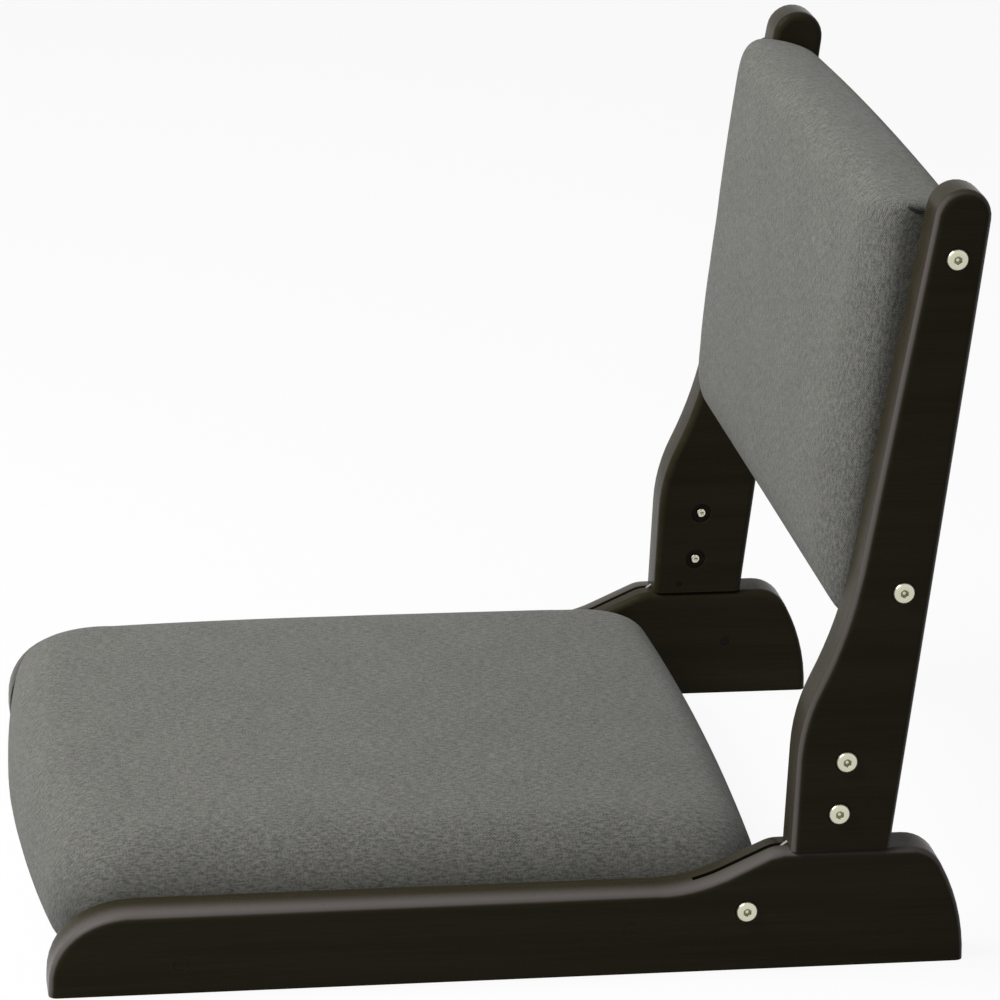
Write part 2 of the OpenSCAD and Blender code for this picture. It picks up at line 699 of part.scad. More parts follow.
module seat_board_screw_set(gap = 0) {
    x = bar_x - board_screw_edge;
    ys = [seat_cross_ys[0] + seat_bar_w, seat_y, seat_cross_ys[1] - seat_bar_w];
    head_z = seat_board_z + seat_board_t;
    for (side = [-1, 1], y = ys) translate([side * x, y, head_z - board_screw_len]) board_screw(gap);
}

module seat_board() {
    color(inner_wood) difference() {
        translate([-board_x, seat_bar_front_y, seat_board_z])
            cube([2 * board_x, seat_bar_rear_y - seat_bar_front_y, seat_board_t]);
        seat_board_screw_set(pin_gap);
    }
}

module rail_screws() {
    color(steel) both_sides() for (p = seat_screws_at) {
        rod(bar_x - screw_bite, screw_head_x, p[0], p[1], screw_d / 2);
        rod(screw_head_x - screw_head_t + hole_gap, screw_head_x, p[0], p[1], plug_d / 2 - hole_gap);
    }
}

module screw_plugs() {
    color(wood) both_sides() for (p = seat_screws_at)
        rod(screw_head_x + hole_gap, half_w - hole_gap, p[0], p[1], plug_d / 2);
}

// The back frame's own bars, drawn in the frame of the back
back_cross_x = bar_x - back_bar_w;
back_dowels_y = [back_bar_y - back_bar_d / 4, back_bar_y - back_bar_d * 3 / 4];
back_cross_zs = [back_bar_low + back_bar_w / 2, back_bar_high - back_bar_w / 2];

module back_dowel_set(gap = 0) {
    both_sides() for (z = back_cross_zs, y = back_dowels_y) dowel(back_cross_x, y, z, gap);
}

module back_board_screw_set(gap = 0) {
    x = bar_x - board_screw_edge;
    zs = [back_cross_zs[0] + back_bar_w, back_z, back_cross_zs[1] - back_bar_w];
    head_y = back_board_y - back_board_t;
    for (side = [-1, 1], z = zs) translate([side * x, head_y + board_screw_len, z]) rotate([90, 0, 0])
        board_screw(gap);
}

module back_bar_side() {
    color(inner_wood) in_back() difference() {
        translate([back_cross_x, back_bar_y - back_bar_d, back_bar_low])
            cube([back_bar_w, back_bar_d, back_bar_high - back_bar_low]);
        back_dowel_set(hole_gap);
        for (z = back_bolts_z) {
            rod(bar_x - bar_insert_len - 2 * over, bar_x + over, 0, z, bolt_d / 2 + hole_gap);
            rod(bar_x - bar_insert_len, bar_x + over, 0, z, insert_d / 2 + hole_gap);
        }
        back_board_screw_set(pin_gap);
    }
}

module back_bar_cross(z) {
    color(inner_wood) in_back() difference() {
        translate([-back_cross_x, back_bar_y - back_bar_d, z - back_bar_w / 2])
            cube([2 * back_cross_x, back_bar_d, back_bar_w]);
        back_dowel_set(hole_gap);
    }
}

module back_board() {
    color(inner_wood) in_back() difference() {
        translate([-board_x, back_board_y - back_board_t, back_bar_low])
            cube([2 * board_x, back_board_t, back_bar_high - back_bar_low]);
        back_board_screw_set(pin_gap);
    }
}

module back_cover() {
    color(cloth) in_back() difference() {
        back_pad();
        back_room(cover_t);
        translate([hem_w - pad_hw, back_rear - over - cover_t, hem_w - back_below])
            cube([2 * (pad_hw - hem_w), 2 * over + cover_t, back_len - 2 * hem_w]);
        both_sides() for (z = back_bolts_z)
            rod(bar_x - over, inner_x + over, 0, z, bolt_d / 2 + hole_gap);
    }
}

module back_foam() {
    color(foam_colour) in_back() difference() {
        back_room(cover_t + cloth_gap);
        translate([-half_w, back_board_y - back_board_t - cloth_gap, back_bar_low - cloth_gap])
            cube([chair_w, back_rear + over - back_board_y + back_board_t,
                back_bar_high - back_bar_low + 2 * cloth_gap]);
    }
}

module back_lining() {
    inset_w = hem_w * 2 / 5;
    color(cloth) in_back() translate([inset_w - pad_hw, back_rear, inset_w - back_below])
        cube([2 * (pad_hw - inset_w), lining_t, back_len - 2 * inset_w]);
}

module back_bolts() {
    color(nickel) both_sides() for (z = back_bolts_z) {
        at = [back_bolt_y + z * sin(rear_lean), back_bolt_h + z * cos(rear_lean)];
        bolt(bar_x - bar_insert_len, at[0], at[1]);
    }
}

module back_inserts() {
    color(steel) in_back() both_sides() for (z = back_bolts_z) insert(bar_x - bar_insert_len, bar_x, 0, z);
}

placed() rail();  // rail_left
placed() mirror([1, 0, 0]) rail();  // rail_right
placed() seat_bar_cross(seat_cross_ys[0]);  // seat_bar_front
placed() seat_bar_cross(seat_cross_ys[1]);  // seat_bar_rear
placed() seat_bar_side();  // seat_bar_left
placed() mirror([1, 0, 0]) seat_bar_side();  // seat_bar_right
placed() seat_board();
placed() seat_foam();
placed() seat_cover();
placed() seat_lining();
placed() rail_screws();
placed() screw_plugs();
placed() pivot_bolts();
placed() pivot_inserts();
placed() hinge_washers();
placed() stop_pins();
placed() color(inner_wood) seat_dowel_set();  // seat_dowels
placed() color(steel) seat_board_screw_set();  // seat_board_screws
placed() post();  // post_left
placed() mirror([1, 0, 0]) post();  // post_right
placed() hinge_plate();  // hinge_plate_left
placed() mirror([1, 0, 0]) hinge_plate();  // hinge_plate_right
placed() plate_bolts();
placed() plate_inserts();
placed() plate_pins();
placed() back_bar_cross(back_cross_zs[1]);  // back_bar_top
placed() back_bar_cross(back_cross_zs[0]);  // back_bar_bottom
placed() back_bar_side();  // back_bar_left
placed() mirror([1, 0, 0]) back_bar_side();  // back_bar_right
placed() back_board();
placed() back_foam();
placed() back_cover();
placed() back_lining();
placed() back_bolts();
placed() back_inserts();
placed() color(inner_wood) in_back() back_dowel_set();  // back_dowels
placed() color(steel) in_back() back_board_screw_set();  // back_board_screws
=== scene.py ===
"""Looks of the folding floor chair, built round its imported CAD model.

The sitter faces -Y, up is +Z and the floor is z = 0. The chair's sizes are written in millimetres, as
in the part's source, and MM makes them Blender's metres. The camera, the lamp, the floor and the scales
of the textures are in metres.
"""
import json

import bpy
import numpy as np
from mathutils import Matrix


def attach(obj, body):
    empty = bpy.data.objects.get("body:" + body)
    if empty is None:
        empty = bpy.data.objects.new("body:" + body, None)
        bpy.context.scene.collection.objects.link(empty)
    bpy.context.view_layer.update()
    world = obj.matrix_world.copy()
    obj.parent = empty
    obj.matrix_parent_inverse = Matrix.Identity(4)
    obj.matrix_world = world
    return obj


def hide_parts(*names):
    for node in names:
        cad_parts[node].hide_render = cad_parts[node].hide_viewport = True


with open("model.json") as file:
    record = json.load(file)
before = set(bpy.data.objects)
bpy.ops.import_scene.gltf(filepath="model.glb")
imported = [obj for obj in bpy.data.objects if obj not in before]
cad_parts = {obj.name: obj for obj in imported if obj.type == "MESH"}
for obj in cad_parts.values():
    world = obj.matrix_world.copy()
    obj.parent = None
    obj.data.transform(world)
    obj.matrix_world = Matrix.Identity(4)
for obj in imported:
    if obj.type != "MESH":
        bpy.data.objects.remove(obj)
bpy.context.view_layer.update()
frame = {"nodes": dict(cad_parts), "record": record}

MM = 0.001
PI = np.pi

# Sizes from the part's source. SHIFT is the y of the middle of the rails.
SHIFT = 4.75
INNER_X = 197.0
HALF_W = 225.0
PAD_HALF_W = 196.7
SEAT_HALF = 210.0
SEAT_Y = -56.75 + SHIFT
SEAT_BASE = 9.0
LEAN = np.radians(5.85)
BACK_BOLT = np.array([0.0, 211.25 + SHIFT, 221.8])
BACK_REAR = 13.0
BACK_MIDDLE = 96.0
PIVOT = np.array([131.25 + SHIFT, 35.2])
PLATE_BOLTS = np.array([(50.0, 56.9), (52.82, 87.9)])
BACK_BOLT_HEIGHTS = (0.0, 190.0)
BOLT_END = INNER_X + 1
BACK_BOLT_END = 180.2

# A cushion's form: half its length, its thickness at the edges, the height of its widest line, the
# width of the roll at its sides, the length of the rolls at its low and its high end, the rise of its
# middle, the drop of its corners at both ends, the lift of its high end, how far the middle of each end
# stands past its corners, and the plan radius of the corners
SEAT_FORM = dict(half=210.5, edge=63.0, belt=22.5, side=40.0, end=28.0, top_end=28.0, crown=8.0,
                 drop=4.0, high_drop=0.5, lift=1.0, low_bow=16.0, high_bow=6.0, corner=30.0)
BACK_FORM = dict(half=120.5, edge=54.0, belt=34.5, side=36.0, end=45.0, top_end=15.0, crown=6.0,
                 drop=4.0, high_drop=0.0, lift=0.0, low_bow=-2.5, high_bow=4.0, corner=6.0)

# Both cushions: the tuck of the sides and the roll of the ends towards the base, the step of the grid,
# the steps over which the cloth's way changes sides at a corner, the rings in which the hold of the
# staples fades, and how far a side may swell past its plane
SIDE_TUCK = 0.9
UNDER_ROLL = 11.0
GRID_STEP = 5.0
MITRE_STEPS = 5.0
GRIP_RINGS = 3
SIDE_SLACK = 0.1

# The cloth simulation: frames, and how much smaller than the cushion its form starts
SWELL_FRAMES = 20
SWELL_START = 1.6

# The fold at the back cushion's top corners: rows and sides of its tube, the degrees round the corner
# where it starts and through which it turns, its start in front of the cushion's rear and its length,
# the depth of its middle under the surface, and the length and width of its cloth
FOLD_ROWS = 15
FOLD_SIDES = 16
FOLD_START = 39.0
FOLD_TURN = 30.0
FOLD_FRONT = 36.5
FOLD_LENGTH = 9.0
FOLD_DEPTH = 0.8
FOLD_CLOTH = (16.0, 8.0)

# Stapled cloths: their insets from the cushions' outlines, the gap to the cushion, their thickness, the
# height, spacing and reach of the ripples between the staples, and the hem over which these grow
SEAT_INSET = 32.0
BACK_INSET = 16.0
LINING_GAP = 0.1
LINING_THICK = 0.6
RIPPLE = 0.22
STAPLE_STEP = 27.0
RIPPLE_REACH = 9.0
HEM = 2.0

# The turned bolts: their sides, the rows of the profile that are hexagonal, and their width
BOLT_SIDES = 72
SOCKET_ROWS = (2, 3, 4, 5)
SOCKET_FLATS = 4.0

# The painted highlight on the outer edges grows between two distances from the middle plane, in metres.
# By the normal's share along X it fades on the flat faces and on the flat strip between the rounded
# edges.
OUTER_HIGHLIGHT = (0.207, 0.2215)
FACE_SHARE = (0.72, 0.95)
STRIP_SHARE = (0.03, 0.35)

# The share of plain white in the floor where the camera sees it
WHITE_SHARE = 0.92


# Meshes

def new_object(name, data):
    """An object in the scene's collection."""
    made = bpy.data.objects.new(name, data)
    bpy.context.scene.collection.objects.link(made)
    return made


def add_piece(name, points, quads, body, material, cloth=None, tris=None):
    """A smooth mesh piece from points in millimetres and rows of corner numbers, riding on a body. Its
    cloth coordinates are millimetres too."""
    mesh = bpy.data.meshes.new(name)
    rows = [np.asarray(quads, int)] + ([np.asarray(tris, int)] if tris is not None else [])
    corners = np.concatenate([r.ravel() for r in rows])
    sizes = np.concatenate([np.full(len(r), r.shape[1]) for r in rows])
    starts = np.concatenate([[0], np.cumsum(sizes)[:-1]])
    mesh.vertices.add(len(points))
    mesh.vertices.foreach_set("co", (np.asarray(points) * MM).astype(np.float32).ravel())
    mesh.loops.add(len(corners))
    mesh.loops.foreach_set("vertex_index", corners.astype(np.int32))
    mesh.polygons.add(len(sizes))
    mesh.polygons.foreach_set("loop_start", starts.astype(np.int32))
    mesh.polygons.foreach_set("use_smooth", np.full(len(sizes), True))
    mesh.update(calc_edges=True)
    if cloth is not None:
        layer = mesh.uv_layers.new(name="cloth")
        layer.data.foreach_set("uv", (np.asarray(cloth)[corners] * MM).astype(np.float32).ravel())
    mesh.validate()
    piece = new_object(name, mesh)
    mesh.materials.append(material)
    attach(piece, body)
    return piece


def grid_quads(ids, close=False):
    """The quads between neighbouring rows and columns of a table of point numbers."""
    ids = np.concatenate([ids, ids[:, :1]], 1) if close else ids
    return np.stack([ids[:-1, :-1], ids[1:, :-1], ids[1:, 1:], ids[:-1, 1:]], -1).reshape(-1, 4)


def end_fans(ids):
    """The triangles that close a tube of points. The first row meets the point that follows the table,
    and the last row meets the point after that."""
    first, last = ids[0], ids[-1]
    pole = np.full(len(first), ids.size)
    return np.concatenate([np.stack([pole, first, np.roll(first, -1)], -1),
                           np.stack([pole + 1, np.roll(last, -1), last], -1)])


# Node trees

def rgb(red, green, blue):
    """A colour for a socket."""
    return (red, green, blue, 1.0)


def feed(tree, socket, value):
    """Links a socket to another node's output, or sets it to a plain value."""
    if isinstance(value, bpy.types.NodeSocket):
        tree.links.new(value, socket)
    else:
        socket.default_value = value


def add_node(tree, kind, inputs=None, **settings):
    """A node with its settings, and its inputs fed by name or number."""
    made = tree.nodes.new("ShaderNode" + kind)
    for key, value in settings.items():
        setattr(made, key, value)
    for key, value in (inputs or {}).items():
        feed(tree, made.inputs[key], value)
    return made


def calc(tree, operation, *values):
    """The output of a Math node."""
    return add_node(tree, "Math", dict(enumerate(values)), operation=operation).outputs[0]


def rest_of(tree, value):
    """1 less a value."""
    return calc(tree, "SUBTRACT", 1.0, value)


def weigh(tree, *terms):
    """The sum of values times their weights, from pairs of a value and a weight."""
    total = None
    for value, weight in reversed(terms):
        part = calc(tree, "MULTIPLY", value, weight)
        total = part if total is None else calc(tree, "ADD", part, total)
    return total


def choose(tree, share, first, second):
    """The first value where the share is 1, and the second where it is 0."""
    return calc(tree, "ADD", calc(tree, "MULTIPLY", share, first),
                calc(tree, "MULTIPLY", rest_of(tree, share), second))


def mix_colours(tree, share, first, second):
    """The first colour turned into the second by a share."""
    return add_node(tree, "Mix", {0: share, 6: first, 7: second}, data_type="RGBA").outputs[2]


def remap(tree, value, low, high, out_low=0.0, out_high=1.0):
    """A value carried from one range to another with soft ends."""
    return add_node(tree, "MapRange", {0: value, 1: low, 2: high, 3: out_low, 4: out_high},
                    interpolation_type="SMOOTHSTEP").outputs[0]


def noise(tree, place, scale, detail=2.0, roughness=0.5):
    """The grey value of a noise texture."""
    return add_node(tree, "TexNoise", {"Vector": place, "Scale": scale, "Detail": detail,
                                       "Roughness": roughness}).outputs[0]


def stretched(tree, place, scale, turn=(0.0, 0.0, 0.0)):
    """A place turned and then scaled along each axis."""
    turned = add_node(tree, "Mapping", {"Vector": place, "Rotation": turn}).outputs[0]
    return add_node(tree, "VectorMath", {0: turned, 1: scale}, operation="MULTIPLY").outputs[0]


def split(tree, vector):
    """The three parts of a vector."""
    return add_node(tree, "SeparateXYZ", {0: vector}).outputs


def make_group(name, inputs, outputs, build):
    """A node group with named inputs {name: (kind, value)} and outputs {name: kind}."""
    tree = bpy.data.node_groups.new(name, "ShaderNodeTree")
    for label, (kind, value) in inputs.items():
        socket = tree.interface.new_socket(label, in_out="INPUT", socket_type="NodeSocket" + kind)
        if value is not None:
            socket.default_value = value
    for label, kind in outputs.items():
        tree.interface.new_socket(label, in_out="OUTPUT", socket_type="NodeSocket" + kind)
    source = tree.nodes.new("NodeGroupInput")
    sink = tree.nodes.new("NodeGroupOutput")
    for label, value in build(tree, source.outputs).items():
        feed(tree, sink.inputs[label], value)
    return tree


def use_group(tree, group, inputs):
    """A placed group's outputs."""
    placed = tree.nodes.new("ShaderNodeGroup")
    placed.node_tree = group
    for key, value in inputs.items():
        feed(tree, placed.inputs[key], value)
    return placed.outputs


def build_twill(tree, given):
    """Two-over-two twill: each thread passes over two and under two, one step on in every row. A thread
    is round across its width, and its tone is a noise drawn out along it. The warp is the lighter
    yarn."""
    place = given["Place"]
    parts = split(tree, place)
    across = calc(tree, "DIVIDE", parts[0], given["Pitch"])
    along = calc(tree, "DIVIDE", parts[1], given["Pitch"])
    count = calc(tree, "ADD", calc(tree, "FLOOR", across), calc(tree, "FLOOR", along))
    step = calc(tree, "FRACT", calc(tree, "MULTIPLY", count, 0.25))
    over = calc(tree, "LESS_THAN", step, 0.5)

    def round_of(value):
        middle = calc(tree, "SUBTRACT", calc(tree, "FRACT", value), 0.5)
        square = calc(tree, "MULTIPLY", middle, middle)
        return rest_of(tree, calc(tree, "MULTIPLY", square, 4.0))

    relief = choose(tree, over, round_of(across), round_of(along))
    warp = noise(tree, stretched(tree, place, (1050.0, 260.0, 1.0)), 1.0, 2.0, 0.65)
    weft = noise(tree, stretched(tree, place, (380.0, 1100.0, 1.0)), 1.0, 2.0, 0.65)
    slub = noise(tree, stretched(tree, place, (560.0, 150.0, 1.0)), 1.0, 1.0)
    both = weigh(tree, (warp, 0.45), (weft, 0.25), (slub, 0.3))
    tone = weigh(tree, (choose(tree, over, warp, weft), 0.35), (both, 0.65))
    return {"Tone": weigh(tree, (remap(tree, tone, 0.38, 0.62), 0.68), (over, 0.32)),
            "Height": relief}


TWILL = make_group("twill", {"Place": ("Vector", None), "Pitch": ("Float", 0.0004)},
                   {"Tone": "Float", "Height": "Float"}, build_twill)


def build_grain(tree, given):
    """Close wood grain along X: slow bands, finer bands, and short fine pores, each a noise drawn out
    along the grain."""
    place, fineness = given["Place"], given["Fineness"]
    slow = noise(tree, stretched(tree, place, (3.0, 70.0, 70.0)), fineness, 3.0, 0.55)
    fine = noise(tree, stretched(tree, place, (18.0, 900.0, 900.0)), fineness, 3.0, 0.6)
    pores = noise(tree, stretched(tree, place, (130.0, 2600.0, 2600.0)), 1.0, 1.0)
    return {"Tone": remap(tree, weigh(tree, (slow, 0.6), (fine, 0.4)), 0.32, 0.68),
            "Pores": remap(tree, pores, 0.62, 0.72)}


GRAIN = make_group("grain", {"Place": ("Vector", None), "Fineness": ("Float", 1.0)},
                   {"Tone": "Float", "Pores": "Float"}, build_grain)


def build_wear_and_highlight(tree, given):
    """Marks the rounded edges of a board whose flat faces point along X: there the normal's share along
    X is neither 0 nor 1. Noise breaks the mark into rubbed patches of wear. The outer edges get a
    painted highlight of their own, growing over the board's thickness. Crown takes that painted
    highlight off what points up, and Flat is the share of it that the flat strip between the rounded
    edges keeps."""
    parts = split(tree, add_node(tree, "NewGeometry").outputs["Normal"])
    share = calc(tree, "ABSOLUTE", parts[0])
    ridge = calc(tree, "MULTIPLY", calc(tree, "MULTIPLY", share, rest_of(tree, share)), 4.0)
    patches = remap(tree, noise(tree, given["Place"], 60.0, 4.0, 0.65), 0.5, 0.75)
    out = calc(tree, "ABSOLUTE", split(tree, given["Place"])[0])
    # The painted highlight on the outer rounded edges
    outer = calc(tree, "MULTIPLY", remap(tree, out, *OUTER_HIGHLIGHT),
                 remap(tree, share, *FACE_SHARE, 1.0, 0.0))
    outer = calc(tree, "MULTIPLY", outer, remap(tree, share, *STRIP_SHARE, given["Flat"], 1.0))
    up = calc(tree, "MULTIPLY", calc(tree, "MAXIMUM", parts[2], 0.0), given["Crown"])
    return {"Painted_highlight": calc(tree, "MULTIPLY", outer, rest_of(tree, up)),
            "Rubbed": calc(tree, "MULTIPLY", ridge, patches)}


EDGE_WEAR_AND_HIGHLIGHT = make_group(
    "edge_wear_and_highlight", {"Place": ("Vector", None), "Crown": ("Float", 0.0), "Flat": ("Float", 1.0)},
    {"Painted_highlight": "Float", "Rubbed": "Float"}, build_wear_and_highlight)


def build_scuffs(tree, given):
    """Hair scratches, which are noise drawn out in two directions, and soft smudges."""
    place = given["Place"]
    first = noise(tree, stretched(tree, place, (40.0, 3000.0, 900.0), (0.3, 0.2, 0.5)), 1.0, 2.0)
    second = noise(tree, stretched(tree, place, (3000.0, 50.0, 900.0), (0.1, 0.6, 0.2)), 1.0, 2.0)
    return {"Lines": remap(tree, calc(tree, "MAXIMUM", first, second), 0.55, 0.75),
            "Smudge": noise(tree, place, 45.0, 4.0, 0.6)}


SCUFFS = make_group("scuffs", {"Place": ("Vector", None)}, {"Lines": "Float", "Smudge": "Float"},
                    build_scuffs)


# Materials

def new_material(name, **fixed):
    """A material with its node tree, its surface shader, and plain values set on the shader."""
    made = bpy.data.materials.new(name)
    made.use_nodes = True
    shader = made.node_tree.nodes["Principled BSDF"]
    for key, value in fixed.items():
        shader.inputs[key.replace("_", " ")].default_value = value
    return made, made.node_tree, shader.inputs


def object_place(tree):
    """The piece's own coordinates, in metres."""
    return add_node(tree, "TexCoord").outputs["Object"]


def cloth_place(tree):
    """The piece's cloth coordinates, in metres."""
    return add_node(tree, "UVMap", uv_map="cloth").outputs[0]


def bump(tree, height, distance, strength=1.0):
    """A normal bent by a height."""
    inputs = {"Height": height, "Distance": distance, "Strength": strength}
    return add_node(tree, "Bump", inputs).outputs[0]


def cloth_material(name, dark, light, pitch):
    """Heathered twill, clouded by a wide noise, with painted shade in the low grooves between its
    threads.
    """
    made, tree, sockets = new_material(name, Roughness=0.92, Sheen_Weight=0.12, Sheen_Roughness=0.5)
    place = cloth_place(tree)
    weave = use_group(tree, TWILL, {"Place": place, "Pitch": pitch})
    cloud = noise(tree, place, 22.0, 3.0, 0.55)
    tone = weigh(tree, (weave["Tone"], 0.8), (cloud, 0.2))
    colour = mix_colours(tree, tone, dark, light)
    # Painted shade: the colour darkens towards near black where the threads' relief falls away between
    # them
    gap = calc(tree, "MULTIPLY", rest_of(tree, weave["Height"]), 0.4)
    feed(tree, sockets["Base Color"], mix_colours(tree, gap, colour, rgb(0.03, 0.03, 0.028)))
    feed(tree, sockets["Normal"], bump(tree, weave["Height"], 0.00016, 0.8))
    return made


def lacquer_material(name, turn, crown, flat):
    """Very dark brown satin lacquer over close-grained wood, with rubbed patches of wear on its rounded
    edges and a pale painted highlight on its outer rounded edges. The grain runs along the board, which
    turn lays along X."""
    made, tree, sockets = new_material(name, Specular_IOR_Level=0.035, Sheen_Weight=0.05,
                                       Sheen_Roughness=0.35, Sheen_Tint=rgb(1.0, 0.9, 0.84))
    place = object_place(tree)
    laid = add_node(tree, "Mapping", {"Vector": place, "Rotation": turn}).outputs[0]
    grain = use_group(tree, GRAIN, {"Place": laid})
    wear_and_highlight = use_group(tree, EDGE_WEAR_AND_HIGHLIGHT, {"Place": place, "Crown": crown, "Flat": flat})
    scuffs = use_group(tree, SCUFFS, {"Place": place})
    rubbed = calc(tree, "MULTIPLY", wear_and_highlight["Rubbed"], 0.5)
    # Painted highlight: a pale grey laid over the outer rounded edges
    outer = calc(tree, "MULTIPLY", wear_and_highlight["Painted_highlight"], 0.9)
    wood = mix_colours(tree, grain["Tone"], rgb(0.026, 0.022, 0.0115), rgb(0.038, 0.032, 0.0175))
    wood = mix_colours(tree, rubbed, wood, rgb(0.05, 0.042, 0.033))
    feed(tree, sockets["Base Color"], mix_colours(tree, outer, wood, rgb(0.15, 0.133, 0.126)))
    marks = weigh(tree, (scuffs["Smudge"], 0.12), (wear_and_highlight["Rubbed"], 0.08), (scuffs["Lines"], 0.03))
    feed(tree, sockets["Roughness"], calc(tree, "ADD", marks, 0.22))
    peel = noise(tree, place, 420.0, 2.0)
    height = weigh(tree, (peel, 0.35), (grain["Pores"], -0.5))
    feed(tree, sockets["Normal"], bump(tree, height, 0.00005, 0.6))
    return made


def metal_material(name, colour, roughness, depth):
    """Plated or rolled steel with hair scratches and smudges, and painted shade, near black, where the
    mesh marks it.
    """
    made, tree, sockets = new_material(name, Metallic=1.0)
    scuffs = use_group(tree, SCUFFS, {"Place": object_place(tree)})
    dull = rgb(*(0.72 * part for part in colour[:3]))
    clean = mix_colours(tree, calc(tree, "MULTIPLY", scuffs["Smudge"], 0.6), colour, dull)
    # Painted shade from the mesh's marks: bolt sockets, bolt-end cups, and the black ring at each head's
    # foot
    painted_shade = add_node(tree, "Attribute", attribute_name="painted_shade").outputs["Fac"]
    feed(tree, sockets["Base Color"], mix_colours(tree, painted_shade, clean, rgb(0.006, 0.006, 0.005)))
    marks = weigh(tree, (scuffs["Smudge"], 0.12), (scuffs["Lines"], 0.1))
    feed(tree, sockets["Roughness"], calc(tree, "ADD", marks, roughness))
    feed(tree, sockets["Normal"], bump(tree, scuffs["Lines"], depth, 0.5))
    return made


def pale_wood_material(name):
    """Planed softwood with its grain along X."""
    made, tree, sockets = new_material(name, Roughness=0.7)
    grain = use_group(tree, GRAIN, {"Place": object_place(tree), "Fineness": 0.8})
    wood = mix_colours(tree, grain["Tone"], rgb(0.5, 0.33, 0.17), rgb(0.68, 0.5, 0.3))
    wood = mix_colours(tree, grain["Pores"], wood, rgb(0.36, 0.22, 0.11))
    feed(tree, sockets["Base Color"], wood)
    feed(tree, sockets["Normal"], bump(tree, grain["Tone"], 0.0001, 0.5))
    return made


def felt_material(name):
    """Thin black non-woven cloth: fibres, pressed into small dimples."""
    made, tree, sockets = new_material(name, Roughness=0.95, Sheen_Weight=0.1)
    place = cloth_place(tree)
    cells = {"Vector": place, "Scale": 620.0, "Randomness": 0.25}
    dots = add_node(tree, "TexVoronoi", cells).outputs["Distance"]
    drawn = stretched(tree, place, (900.0, 2500.0, 1.0), (0.0, 0.0, 0.6))
    fibres = noise(tree, drawn, 1.0, 4.0, 0.7)
    tone = weigh(tree, (dots, 0.6), (fibres, 0.4))
    felt = mix_colours(tree, tone, rgb(0.006, 0.006, 0.007), rgb(0.034, 0.034, 0.036))
    feed(tree, sockets["Base Color"], felt)
    feed(tree, sockets["Normal"], bump(tree, weigh(tree, (dots, 1.0), (fibres, 0.5)), 0.0002))
    return made


CLOTH = cloth_material("grey_twill", rgb(0.03, 0.031, 0.027), rgb(0.35, 0.347, 0.311), 0.00042)
# The last two numbers: how much of the painted highlight is taken off what points up, and the share of
# it that the flat strip keeps
RAIL_WOOD = lacquer_material("lacquered_rail", (0.0, 0.0, PI / 2), 0.0, 0.8)
POST_WOOD = lacquer_material("lacquered_post", (0.0, PI / 2 + LEAN, PI / 2), 1.0, 0.15)
NICKEL = metal_material("nickel_plate", rgb(0.66, 0.65, 0.5), 0.18, 0.00001)
ZINC = metal_material("zinc_plate", rgb(0.58, 0.59, 0.61), 0.3, 0.00002)
PLATE = metal_material("rolled_steel", rgb(0.36, 0.36, 0.37), 0.34, 0.00003)
BLACKED = metal_material("blacked_steel", rgb(0.011, 0.0105, 0.009), 0.38, 0.00002)
PALE_WOOD = pale_wood_material("planed_softwood")
FELT = felt_material("black_felt")

FINISHES = {"dark_wood": RAIL_WOOD, "cover_cloth": CLOTH, "lining_cloth": FELT, "foam": PALE_WOOD,
            "frame_wood": PALE_WOOD, "nickel_steel": NICKEL, "zinc_steel": ZINC,
            "plate_steel": PLATE, "black_steel": BLACKED}


def dress_cad_nodes():
    """Gives each CAD node its finish, and the faceted boards smooth shading between their creases."""
    for part in frame["record"]["subparts"]:
        name = part["node"]
        node = frame["nodes"][name]
        finish = POST_WOOD if name.startswith("post_") else FINISHES[part["material_slot"]]
        for held in node.material_slots:
            held.material = finish
        if part["material_slot"] == "dark_wood":
            node.modifiers.new("join", "WELD").merge_threshold = 0.000001
            node.modifiers.new("split", "EDGE_SPLIT").split_angle = np.radians(32)
            node.modifiers.new("shading", "WEIGHTED_NORMAL").weight = 60


# Cushions

def outline(form, a, b):
    """Carries places on the border of a square, from -1 to 1, to a rounded rectangle. Its half length
    goes by a parabola from the corners' to the middle's. Returns x, y and the half length at the
    corners."""
    hw, half, radius = PAD_HALF_W, form["half"], form["corner"]
    reach = np.where(b > 0, half - form["high_bow"], half - form["low_bow"])
    x, y = a * hw, b * reach
    dx, dy = np.abs(x) - (hw - radius), np.abs(y) - (reach - radius)
    turned = (dx > 0) & (dy > 0)
    pull = np.where(turned, radius / np.maximum(np.hypot(dx, dy), 1e-9), 1.0)
    x = np.where(turned, np.sign(x) * (hw - radius + dx * pull), x)
    y = np.where(turned, np.sign(y) * (reach - radius + dy * pull), y)
    return x, y * (1 + (half / reach - 1) * (1 - (x / hw) ** 2)), reach


def extra_way(counts, size_in, size_down, turns):
    """How much longer the way down a roll is than its way out, for each ring. The roll is a quarter
    ellipse."""
    turn = np.linspace(0, PI / 2, turns + 1)
    out, down = size_in * (1 - np.cos(turn)), size_down * np.sin(turn)
    way = np.concatenate([[0], np.cumsum(np.hypot(np.diff(out), np.diff(down)))])
    left = (way[-1] - way) - (size_in - out)
    return left[np.minimum(counts, turns)]


